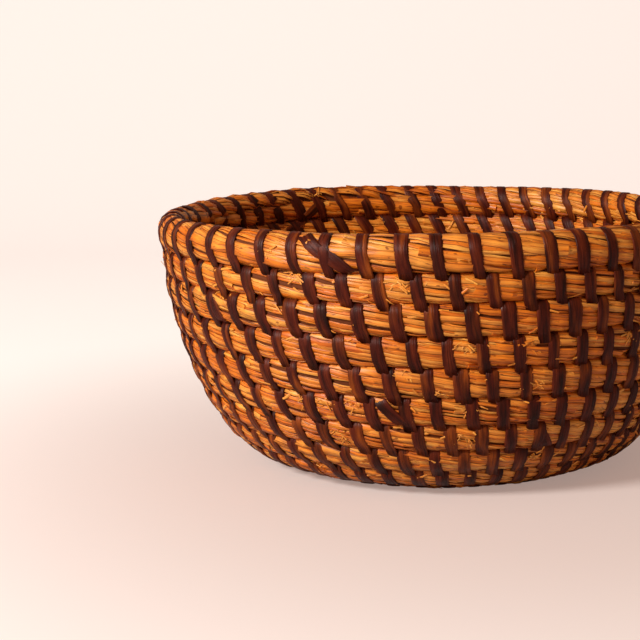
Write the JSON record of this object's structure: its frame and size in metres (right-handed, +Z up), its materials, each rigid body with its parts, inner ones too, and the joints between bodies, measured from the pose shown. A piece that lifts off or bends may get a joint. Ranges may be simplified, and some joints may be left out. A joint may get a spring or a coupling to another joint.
{
  "type": "coiled straw basket",
  "caption": "Round open bowl basket: a straw coil winds from the flat base up the wall to a fuller rim, its rows bound to each other by dark split-bark splints.",
  "frame": {"origin": "middle of the base, on the surface that the basket stands on", "axes": "+Z up through the open mouth; +X to the right in the picture, where the coil steps up from row to row and its tail ends"},
  "size_m": [0.2985, 0.2991, 0.1331],
  "materials": {
    "straw": "dried straw, satin",
    "split_bark": "split bark, slightly glossy"
  },
  "bodies": {
    "root": {"base_splint_01": "split_bark", "base_splint_02": "split_bark", "base_splint_03": "split_bark", "base_splint_04": "split_bark", "rim_splint_01": "split_bark", "rim_splint_02": "split_bark", "rim_splint_03": "split_bark", "straw_coil_base": "straw", "straw_coil_foot": "straw", "straw_coil_rim": "straw", "straw_coil_wall": "straw", "wall_splint_01": "split_bark", "wall_splint_02": "split_bark", "wall_splint_03": "split_bark", "wall_splint_04": "split_bark", "wall_splint_05": "split_bark", "wall_splint_06": "split_bark", "wall_splint_07": "split_bark", "wall_splint_08": "split_bark", "wall_splint_09": "split_bark", "wall_splint_10": "split_bark", "wall_splint_11": "split_bark", "wall_splint_12": "split_bark", "wall_splint_13": "split_bark", "wall_splint_14": "split_bark", "wall_splint_15": "split_bark", "wall_splint_16": "split_bark", "wall_splint_17": "split_bark", "wall_splint_18": "split_bark"}
  },
  "joints": []
}
